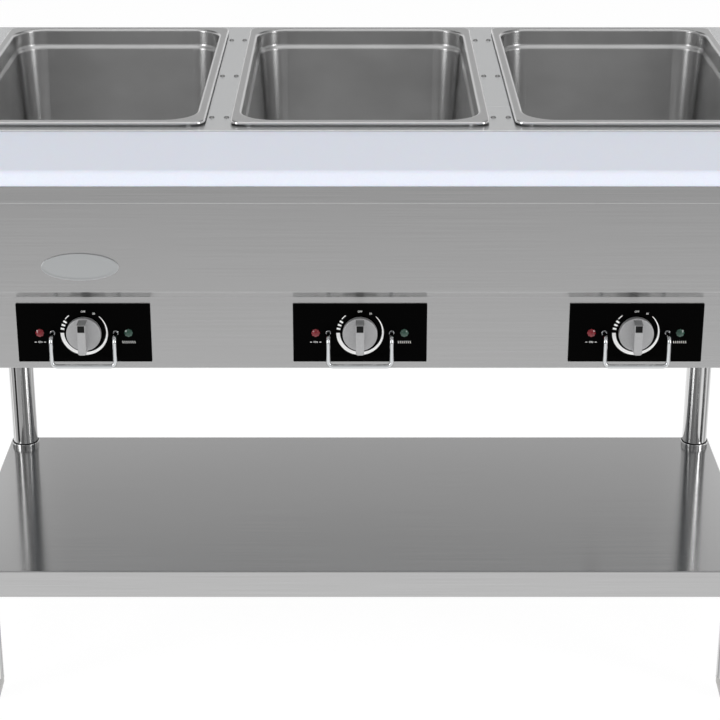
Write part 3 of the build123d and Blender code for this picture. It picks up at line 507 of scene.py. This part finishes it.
# Glass-wool blanket: matted fibres, felted and dull.
def glass_wool(name):
    material, tree, ways = blank(name, (14, 14, 1.6))
    matted = {"Scale": 1.0, "Detail": 8.0, "Roughness": 0.75}
    fibre = add(tree, "ShaderNodeTexNoise", matted, {"Vector": ways})
    pale = tuple(min(1.0, 1.25 * part) for part in colours().wool)
    shades = {"data_type": "RGBA", DARK: opaque(colours().wool), LIGHT: opaque(pale)}
    tone = add(tree, "ShaderNodeMix", shades, {SHARE: fibre})
    rough = add(tree, "ShaderNodeBump", {"Strength": 0.8, "Distance": 1.2 * MM}, {"Height": fibre})
    felted = {"Roughness": 0.95, "Sheen Weight": 0.3}
    return shown(material, tree, felted, {"Base Color": tone.outputs[TONE], "Normal": rough})


# Satin anodised aluminium: chemically brightened and etched, so it is pale and evenly matt.
def satin_aluminium(name):
    metal = {"Metallic": 1.0, "Base Color": opaque(colours().badge)}
    return fine_finish(
        name, metal, cell=(8.0, 0.8, 0.8), detail=3.0, roughness=(0.35, 0.5), bump=(0.1, 0.04)
    )


def each(kind, spots=WELLS):
    """Names of the nodes of a kind, one for each well or corner."""
    return [f"{kind}_{spot}" for spot in spots]


def dress(nodes, material):
    """Gives CAD nodes a material in place of the plain one they came with."""
    for node in nodes:
        NODES[node].data.materials.clear()
        NODES[node].data.materials.append(material)


def made(mesh, name, material):
    """Turns a bmesh into an object of one material."""
    data = bpy.data.meshes.new(name)
    mesh.to_mesh(data)
    mesh.free()
    data.materials.append(material)
    item = bpy.data.objects.new(name, data)
    bpy.context.scene.collection.objects.link(item)
    return item


def piece(mesh, name, body, material, smooth=False):
    """Makes a part of the table, which rides on a body."""
    bmesh.ops.recalc_face_normals(mesh, faces=mesh.faces)
    item = made(mesh, name, material)
    item.data.polygons.foreach_set("use_smooth", [smooth] * len(item.data.polygons))
    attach(item, body)
    return item


def placed(mesh, verts, matrix):
    """Moves some vertices of a bmesh."""
    bmesh.ops.transform(mesh, matrix=matrix, verts=verts)


def added(mesh, before):
    """Vertices that a bmesh has gained since a set of them was kept."""
    return [v for v in mesh.verts if v not in before]


def centre(node):
    """Middle of a node's box."""
    low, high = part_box(node)
    return (low + high) / 2


def spun(mesh, outline, steps, closed=False):
    """Turns an outline of radii and heights about Z and returns the new vertices."""
    before = set(mesh.verts)
    section = [mesh.verts.new((radius, 0, rise)) for radius, rise in outline]
    ends = section[1:] + section[:1] if closed else section[1:]
    edges = [mesh.edges.new(pair) for pair in zip(section, ends)]
    bmesh.ops.spin(
        mesh, geom=section + edges, cent=(0, 0, 0), axis=(0, 0, 1), angle=tau, steps=steps, use_merge=True
    )
    bmesh.ops.remove_doubles(mesh, verts=added(mesh, before), dist=MERGE)
    return added(mesh, before)


def thickened(mesh, faces, height):
    """Raises flat faces into a slab."""
    grown = bmesh.ops.extrude_face_region(mesh, geom=faces)["geom"]
    tops = [item for item in grown if isinstance(item, bmesh.types.BMVert)]
    bmesh.ops.translate(mesh, vec=(0, 0, height), verts=tops)


def band(mesh, inner, outer, start, sweep):
    """Flat band round the middle, clockwise from an angle to the top, swept from one straight edge."""
    step = radians(3)
    way = Vector((sin(start), cos(start), 0))
    ends = [mesh.verts.new(way * radius) for radius in (inner, outer)]
    edge = mesh.edges.new(ends)
    before = set(mesh.faces)
    bmesh.ops.spin(
        mesh,
        geom=[*ends, edge],
        cent=(0, 0, 0),
        axis=(0, 0, -1),
        angle=sweep,
        steps=max(1, round(sweep / step)),
    )
    return [face for face in mesh.faces if face not in before]


def heat_arc(mesh, sizes):
    """Band that widens inwards from its thin start to its thick end."""
    faces = band(mesh, sizes.radius - sizes.thick, sizes.radius, sizes.start, sizes.end - sizes.start)
    middle = sizes.radius - sizes.thick / 2
    for vert in {v for face in faces for v in face.verts if v.co.length < middle}:
        share = ((atan2(vert.co.x, vert.co.y) % tau) - sizes.start) / (sizes.end - sizes.start)
        width = sizes.thin + (sizes.thick - sizes.thin) * (1 - (1 - share) ** 2)
        vert.co *= (sizes.radius - width) / vert.co.length
    return faces


def letters(mesh, text, size, height, place):
    """Adds raised text, centred on a place."""
    curve = bpy.data.curves.new("letters", "FONT")
    curve.body = text
    curve.size = size
    curve.align_x = "CENTER"
    curve.align_y = "CENTER"
    curve.extrude = height / 2
    holder = bpy.data.objects.new("letters", curve)
    flat = bpy.data.meshes.new_from_object(holder)
    flat.transform(Matrix.Translation((*place, height / 2)))
    mesh.from_mesh(flat)
    bpy.data.objects.remove(holder)
    bpy.data.curves.remove(curve)
    bpy.data.meshes.remove(flat)


def heat_waves(mesh, size, height, place):
    """A row of seven rising wavy lines, each swept as two bows."""
    line, bow, pitch = 0.2 * size, 0.5 * size, 0.74 * size
    start, sweep, half_sweep = radians(60), radians(60), radians(30)
    for column in range(-3, 4):
        for side in (-1, 1):
            before = set(mesh.verts)
            thickened(mesh, band(mesh, bow - line, bow, start, sweep), height)
            flip = Matrix.Translation((-bow * cos(half_sweep), 0, 0))
            if side < 0:
                flip = Matrix.Rotation(pi, 4, "Z") @ flip
            rise = bow * sin(half_sweep)
            shift = Matrix.Translation((place[0] + column * pitch, place[1] + side * rise, 0))
            placed(mesh, added(mesh, before), shift @ flip)


class HOTTABLE_OT_body_skins(bpy.types.Operator):
    """Brushed finish of the folded body, and the rivets in the deck"""

    bl_idname = "hot_table.body_skins"
    bl_label = "Body Skins"

    def execute(self, context):
        sheet = (colours().sheet_shade, colours().sheet_light)
        deck = (colours().deck_shade, colours().deck_light)
        satin, fine = (0.2, 0.3), (0.11, 0.2)
        across = brushed_stainless("brushed stainless, grain across", "X", satin, sheet)
        # The deck is the sheet's steel in brighter colours: painted light on the surface that faces up.
        painted_bright_deck = brushed_stainless("closely brushed stainless, grain across", "X", satin, deck)
        shelf = brushed_stainless("finely brushed stainless, grain across", "X", fine, sheet)
        deep = brushed_stainless("brushed stainless, grain front to back", "Y", satin, sheet)
        dress(("front_fascia", "control_panel", "rear_panel", "board_tray", "shelf_stiffener"), across)
        dress(["top_deck"], painted_bright_deck)
        dress(["undershelf"], shelf)
        dress(["bottom_cover"], galvanised_sheet("galvanised sheet"))
        dress(("side_panel_left", "side_panel_right", "board_brackets"), deep)
        sizes = context.scene.table_details
        mesh = bmesh.new()
        for x, y in self.places(sizes):
            self.rivet(mesh, sizes, x, y)
        # Rivet heads take a darker colour than the deck: painted shade on the domes.
        head = bright_metal("polished rivet head", colours().rivet)
        piece(mesh, "deck_rivets", "frame", head, smooth=True)
        return {"FINISHED"}

    def places(self, sizes):
        """Three pairs on each divider, and three single rivets on each end margin."""
        pans = [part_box(pan) for pan in each("food_pan")]
        middle = (pans[0][0].y + pans[0][1].y) / 2 - sizes.rivet_shift
        rows = [middle + row * sizes.rivet_row for row in (-1, 0, 1)]
        found = []
        for left, right in zip(pans, pans[1:]):
            divider = (left[1].x + right[0].x) / 2
            pair = [divider + side * sizes.rivet_pair for side in (-0.5, 0.5)]
            found += [(x, y) for y in rows for x in pair]
        for edge, rim in ((DECK_LOW.x, pans[0][0].x), (DECK_HIGH.x, pans[2][1].x)):
            found += [((edge + rim) / 2, y) for y in rows]
        return found

    def rivet(self, mesh, sizes, x, y):
        """A domed head, spun from its section, on the flat deck that is level with the board's top."""
        shares = ((0.0, 1.0), (0.3, 0.95), (0.55, 0.82), (0.75, 0.62), (0.9, 0.35), (1.0, 0.0))
        outline = [(share * sizes.rivet_radius, rise * sizes.rivet_height) for share, rise in shares]
        deck_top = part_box("cutting_board")[1].z
        placed(mesh, spun(mesh, outline, RIVET_STEPS), Matrix.Translation((x, y, deck_top)))


class HOTTABLE_OT_food_pans(bpy.types.Operator):
    """Satin drawn steel of the lift-out pans"""

    bl_idname = "hot_table.food_pans"
    bl_label = "Food Pans"

    def execute(self, context):
        sizes = context.scene.table_details
        for well in WELLS:
            low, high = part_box(f"food_pan_{well}")
            steel = drawn_stainless(f"drawn stainless, {well}", low, high, sizes.rim_corner, sizes.rim_highlight_width)
            dress([f"food_pan_{well}"], steel)
        return {"FINISHED"}


class HOTTABLE_OT_wells(bpy.types.Operator):
    """Liners, heating elements and insulation under the pans"""

    bl_idname = "hot_table.wells"
    bl_label = "Wells"

    def execute(self, context):
        dress(each("well_liner"), scaled_stainless("stainless with dried scale"))
        dress(each("heating_element"), oxidised_sheath("oxidised element sheath"))
        dress(["element_clips"], turned_steel("plain stainless clip"))
        dress(["well_insulation"], glass_wool("glass-wool blanket"))
        return {"FINISHED"}


class HOTTABLE_OT_cutting_board(bpy.types.Operator):
    """White board and the pins that keep it in place"""

    bl_idname = "hot_table.cutting_board"
    bl_label = "Cutting Board"

    def execute(self, context):
        dress(["cutting_board"], polyethylene("pressed white polyethylene"))
        dress(["board_pins"], turned_steel("turned locating pin"))
        return {"FINISHED"}


class HOTTABLE_OT_control_plates(bpy.types.Operator):
    """Black plates with their printed dials and lamp legends"""

    bl_idname = "hot_table.control_plates"
    bl_label = "Control Plates"

    def execute(self, context):
        dress(each("control_plate"), black_overlay("black polycarbonate overlay"))
        ink = printed_ink("screen-printed white ink")
        sizes = context.scene.table_dials
        lens = (LENS_HIGH.z - LENS_LOW.z) / 2
        lamp = AXES["knob_left"].x - (LENS_LOW.x + lens)
        power = (-lamp, -sizes.legend_drop)
        heating = (lamp, -sizes.legend_drop)
        for well in WELLS:
            mesh = bmesh.new()
            self.dial(mesh, sizes)
            letters(mesh, "ON", sizes.letters, sizes.ink, power)
            self.bars(mesh, sizes, power)
            heat_waves(mesh, sizes.letters, sizes.ink, heating)
            axis = AXES[f"knob_{well}"]
            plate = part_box(f"control_plate_{well}")[0]
            placed(mesh, mesh.verts, Matrix.Translation((axis.x, plate.y, axis.z)) @ TO_FRONT)
            piece(mesh, f"dial_print_{well}", "frame", ink)
        return {"FINISHED"}

    def bars(self, mesh, sizes, place):
        """A short bar on each side of the power lamp's legend."""
        wide, tall = sizes.bar_length / 2, sizes.bar_width / 2
        for side in (-1, 1):
            shift = Matrix.Translation((place[0] + side * sizes.bar_reach, place[1], 0))
            spread = shift @ Matrix.Diagonal((wide, tall, 1, 1))
            grid = bmesh.ops.create_grid(mesh, x_segments=1, y_segments=1, size=1, matrix=spread)
            thickened(mesh, list({face for v in grid["verts"] for face in v.link_faces}), sizes.ink)

    def dial(self, mesh, sizes):
        """Arc that widens with the heat, three dashes, a thin tick, the off mark and a number."""
        faces = heat_arc(mesh, sizes)
        for i in range(3):
            start = sizes.dash_start + i * sizes.dash_pitch
            faces += band(mesh, sizes.radius - sizes.dash_length, sizes.radius, start, sizes.dash_sweep)
        faces += band(mesh, sizes.radius - sizes.tick_width, sizes.radius, sizes.tick_start, sizes.tick_sweep)
        thickened(mesh, faces, sizes.ink)
        letters(mesh, "OFF", sizes.letters, sizes.ink, (0, sizes.off_rise))
        way = (sizes.number_reach * sin(sizes.number_turn), sizes.number_reach * cos(sizes.number_turn))
        letters(mesh, "30", sizes.letters, sizes.ink, way)


class HOTTABLE_OT_knobs(bpy.types.Operator):
    """Silver knobs, their black pointers, switch shafts and guards"""

    bl_idname = "hot_table.knobs"
    bl_label = "Knobs and Guards"

    def execute(self, context):
        dress(each("knob"), silver_moulding("silver ABS moulding"))
        dress(each("knob_pointer"), black_moulding("black pointer", colours().pointer))
        black = black_moulding("black nylon moulding", colours().moulding)
        dress(["control_switches", "lamp_bodies"], black)
        dress(each("switch_shaft"), turned_steel("turned switch shaft"))
        wire = bright_metal("chromium-plated wire", colours().chrome)
        dress(each("knob_guard"), wire)
        dress(["guard_nuts"], turned_steel("plain stainless nut"))
        self.ferrules(context.scene.table_details)
        return {"FINISHED"}

    def ferrules(self, sizes):
        """Bright ring on the plate round each end of a guard."""
        clearance, chamfer = 0.3 * MM, 0.2 * MM
        mesh = bmesh.new()
        for well in WELLS:
            axis = AXES[f"knob_{well}"]
            low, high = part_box(f"knob_guard_{well}")
            wire = high.z - axis.z
            inner, outer = wire + clearance, wire + sizes.ferrule_width
            rise = sizes.ferrule_height
            outline = ((inner, 0.0), (outer, 0.0), (outer - chamfer, rise), (inner, 0.8 * rise))
            for x in (low.x + wire, high.x - wire):
                fresh = spun(mesh, outline, RING_STEPS, closed=True)
                placed(mesh, fresh, Matrix.Translation((x, PLATE_LOW.y, axis.z)) @ TO_FRONT)
        ring = bright_metal("chromium-plated ring", colours().chrome)
        piece(mesh, "guard_ferrules", "frame", ring, smooth=True)


class HOTTABLE_OT_lamps(bpy.types.Operator):
    """Faceted red and green lenses"""

    bl_idname = "hot_table.lamps"
    bl_label = "Indicator Lamps"

    def execute(self, context):
        facets = context.scene.table_details.facets
        kinds = (
            ("power_lamps", "lens_red", acrylic_lens("red acrylic lens", colours().red_lens)),
            ("heating_lamps", "lens_green", acrylic_lens("green acrylic lens", colours().green_lens)),
        )
        for node, slot, material in kinds:
            low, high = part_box(node)
            radius = (high.z - low.z) / 2
            left = low.x + radius
            mesh = bmesh.new()
            for well in WELLS:
                x = left + AXES[f"knob_{well}"].x - AXES["knob_left"].x
                spot = Vector((x, PLATE_LOW.y, (low.z + high.z) / 2))
                self.jewel(mesh, radius, PLATE_LOW.y - low.y, facets, spot)
            lens = piece(mesh, f"{node}_faceted", "frame", material)
            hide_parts(node)
        return {"FINISHED"}

    def jewel(self, mesh, radius, height, facets, spot):
        """Domed lens spun in few steps, with its middle ring turned half a step."""
        shares = ((1.0, 0.0), (1.0, 0.2), (0.82, 0.5), (0.5, 0.88), (0.0, 1.0))
        faces_before = set(mesh.faces)
        fresh = spun(mesh, [(share * radius, rise * height) for share, rise in shares], facets)
        belt = shares[2][1] * height
        ring = [v for v in fresh if abs(v.co.z - belt) < MERGE]
        bmesh.ops.rotate(mesh, cent=(0, 0, 0), matrix=Matrix.Rotation(pi / facets, 3, "Z"), verts=ring)
        bmesh.ops.triangulate(mesh, faces=[f for f in mesh.faces if f not in faces_before])
        placed(mesh, fresh, Matrix.Translation(spot) @ TO_FRONT)


class HOTTABLE_OT_badge(bpy.types.Operator):
    """Bare oval plate"""

    bl_idname = "hot_table.badge"
    bl_label = "Badge"

    def execute(self, context):
        dress(["badge"], satin_aluminium("satin anodised aluminium"))
        return {"FINISHED"}


class HOTTABLE_OT_legs(bpy.types.Operator):
    """Polished legs with their collars, sockets, screws and feet"""

    bl_idname = "hot_table.legs"
    bl_label = "Legs and Feet"

    def execute(self, context):
        tube = polished_tube("polished stainless tube")
        dress(each("leg", CORNERS), tube)
        dress(["leg_sockets", "shelf_collars"], tube)
        sizes = context.scene.table_details
        stem_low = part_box("foot_inserts")[0].z
        foot = turned_steel("turned stainless foot", (stem_low, sizes.thread))
        dress(each("foot", CORNERS), foot)
        dress(["foot_inserts", "set_screws"], turned_steel("turned stainless plug"))
        self.beads(sizes)
        return {"FINISHED"}

    def beads(self, sizes):
        """Black bead round each leg, where it comes out of its collar: painted shade for the dark line there.
        """
        shares = ((0.0, 0.0), (1.0, 0.0), (0.8, 0.6), (0.0, 1.0))
        collar_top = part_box("shelf_collars")[1].z
        mesh = bmesh.new()
        for leg in each("leg", CORNERS):
            low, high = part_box(leg)
            radius = (high.x - low.x) / 2
            outline = [(radius + out * sizes.bead, rise * sizes.bead) for out, rise in shares]
            fresh = spun(mesh, outline, BEAD_STEPS, closed=True)
            placed(mesh, fresh, Matrix.Translation((*centre(leg).xy, collar_top)))
        painted_shade = black_moulding("black sealant bead", colours().pointer)
        piece(mesh, "leg_beads", "frame", painted_shade, smooth=True)


class HOTTABLE_OT_underside(bpy.types.Operator):
    """Cover screws, terminal block and cable gland"""

    bl_idname = "hot_table.underside"
    bl_label = "Underside"

    def execute(self, context):
        dress(["cover_screws"], turned_steel("rolled stainless screw"))
        black = black_moulding("black nylon moulding, underside", colours().moulding)
        dress(["terminal_block", "cable_gland"], black)
        return {"FINISHED"}


class HOTTABLE_OT_stage(bpy.types.Operator):
    """Pale floor, soft light and the camera"""

    bl_idname = "hot_table.stage"
    bl_label = "Stage"

    def execute(self, context):
        settings = context.scene.table_stage
        self.floor(settings)
        self.sky(context.scene)
        for name, size, place, power in SOFTBOXES:
            self.softbox(name, size, place, getattr(settings, power))
        self.graded_card()
        self.black_cards()
        self.camera(context.scene, settings)
        context.scene.view_settings.view_transform = "Standard"
        return {"FINISHED"}

    def floor(self, settings):
        """Even pale floor, which glows softly."""
        material, tree, _ = blank("pale lit floor")
        lit = {
            "Base Color": opaque(colours().floor),
            "Roughness": 0.9,
            "Specular IOR Level": 0.0,
            "Emission Color": WHITE,
            "Emission Strength": settings.floor_glow,
        }
        shown(material, tree, lit, {})
        mesh = bmesh.new()
        bmesh.ops.create_grid(mesh, x_segments=1, y_segments=1, size=FLOOR_HALF)
        self.sheet("floor", mesh, material)

    def sheet(self, name, mesh, material):
        """Makes a flat part of the stage."""
        item = made(mesh, name, material)
        return item

    def card(self, name, mesh, material):
        """Lays down a sheet that shows in reflections alone."""
        item = self.sheet(name, mesh, material)
        item.visible_camera = False
        item.visible_diffuse = False
        item.visible_shadow = False

    def graded_card(self):
        """Card on the floor in front, which glows more the nearer it is to the table."""
        material, tree, place = blank("graded grey card")
        way = add(tree, "ShaderNodeSeparateXYZ", None, {"Vector": place}).outputs["Y"]
        near = {"From Min": -0.5, "From Max": -0.2, "To Max": 0.14}
        far = {"From Min": -3.7, "From Max": -1.5, "To Min": 0.3, "To Max": 0.9}
        step = add(tree, "ShaderNodeMapRange", near, {"Value": way})
        slope = add(tree, "ShaderNodeMapRange", {"interpolation_type": "SMOOTHSTEP", **far}, {"Value": way})
        glow = add(tree, "ShaderNodeMath", {"operation": "ADD"}, {0: step, 1: slope})
        lit = {"Base Color": BLACK, "Specular IOR Level": 0.0, "Emission Color": WHITE}
        shown(material, tree, lit, {"Emission Strength": glow})
        mesh = bmesh.new()
        spot = Matrix.Translation((0, CARD_Y, MM))
        bmesh.ops.create_grid(mesh, x_segments=1, y_segments=1, size=CARD_HALF, matrix=spot)
        self.card("graded_card", mesh, material)

    def black_cards(self):
        """A wedge of felt on the floor by each rear leg, which mirrors it as a dark streak."""
        material, tree, _ = blank("black felt card")
        shown(material, tree, {"Base Color": FELT, "Roughness": 0.95}, {})
        mesh = bmesh.new()
        for corner, start in FELT_STARTS.items():
            before = set(mesh.verts)
            band(mesh, FELT_NEAR, FELT_FAR, start, FELT_SWEEP)
            spot = Matrix.Translation((*centre(f"leg_{corner}").xy, 2 * MM))
            placed(mesh, added(mesh, before), spot)
        self.card("black_cards", mesh, material)

    def sky(self, scene):
        """White behind the table, dim high up, an even grey in front, and to the camera a white backdrop."""
        world = bpy.data.worlds.new("studio")
        scene.world = world
        world.use_nodes = True
        tree = world.node_tree
        tree.nodes.clear()
        way = add(tree, "ShaderNodeTexCoord").outputs["Generated"]
        parts = add(tree, "ShaderNodeSeparateXYZ", None, {"Vector": way})
        over = {"From Min": 0.37, "From Max": 0.5, "To Min": 0.95, "To Max": 0.12}
        dim = add(tree, "ShaderNodeMapRange", over, {"Value": parts.outputs["Z"]})
        back = {"From Min": -0.4, "From Max": 0.5, "To Min": 0.5}
        power = add(tree, "ShaderNodeMapRange", back, {"Value": parts.outputs["Y"], "To Max": dim})
        direct = add(tree, "ShaderNodeLightPath").outputs["Is Camera Ray"]
        seen = add(tree, "ShaderNodeMix", {SECOND: 1.0}, {SHARE: direct, FIRST: power})
        light = add(tree, "ShaderNodeBackground", {"Color": WHITE}, {"Strength": seen})
        add(tree, "ShaderNodeOutputWorld", None, {"Surface": light})

    def softbox(self, name, size, place, power):
        """Rectangular light that faces the middle of the table."""
        light = bpy.data.lights.new(name, "AREA")
        light.shape = "RECTANGLE"
        light.size, light.size_y = size
        light.energy = power
        lamp = bpy.data.objects.new(name, light)
        bpy.context.scene.collection.objects.link(lamp)
        aim = (CAD_BOX[0] + CAD_BOX[1]) / 2 - Vector(place)
        lamp.matrix_world = Matrix.Translation(place) @ aim.to_track_quat("-Z", "Y").to_matrix().to_4x4()
        lamp.visible_camera = False

    def camera(self, scene, settings):
        """Camera that looks down at the front of the table."""
        data = bpy.data.cameras.new("camera")
        data.sensor_width = 36.0
        data.lens = settings.lens
        data.clip_end = 100.0
        camera = bpy.data.objects.new("camera", data)
        scene.collection.objects.link(camera)
        camera.location = (0, -settings.camera_back, settings.camera_height)
        camera.rotation_euler = (pi / 2 - settings.camera_tilt, 0, 0)
        scene.camera = camera


STEPS = (
    HOTTABLE_OT_body_skins,
    HOTTABLE_OT_food_pans,
    HOTTABLE_OT_wells,
    HOTTABLE_OT_cutting_board,
    HOTTABLE_OT_control_plates,
    HOTTABLE_OT_knobs,
    HOTTABLE_OT_lamps,
    HOTTABLE_OT_badge,
    HOTTABLE_OT_legs,
    HOTTABLE_OT_underside,
    HOTTABLE_OT_stage,
)


class HOTTABLE_PT_pieces(bpy.types.Panel):
    """Lists the steps that dress the table"""

    bl_label = "Hot Food Table"
    bl_idname = "HOTTABLE_PT_pieces"
    bl_space_type = "VIEW_3D"
    bl_region_type = "UI"
    bl_category = "Hot Table"

    def draw(self, context):
        for step in STEPS:
            self.layout.operator(step.bl_idname)


GROUPS = {
    "table_colours": TableColours,
    "table_dials": DialSizes,
    "table_details": DetailSizes,
    "table_stage": StageSettings,
}


def register():
    for group in (*GROUPS.values(), *STEPS, HOTTABLE_PT_pieces):
        bpy.utils.register_class(group)
    for name, group in GROUPS.items():
        setattr(bpy.types.Scene, name, PointerProperty(type=group))


def unregister():
    for name in GROUPS:
        delattr(bpy.types.Scene, name)
    for group in (HOTTABLE_PT_pieces, *reversed(STEPS), *GROUPS.values()):
        bpy.utils.unregister_class(group)


def main():
    register()
    for step in STEPS:
        family, name = step.bl_idname.split(".")
        getattr(getattr(bpy.ops, family), name)()


if __name__ == "__main__":
    main()
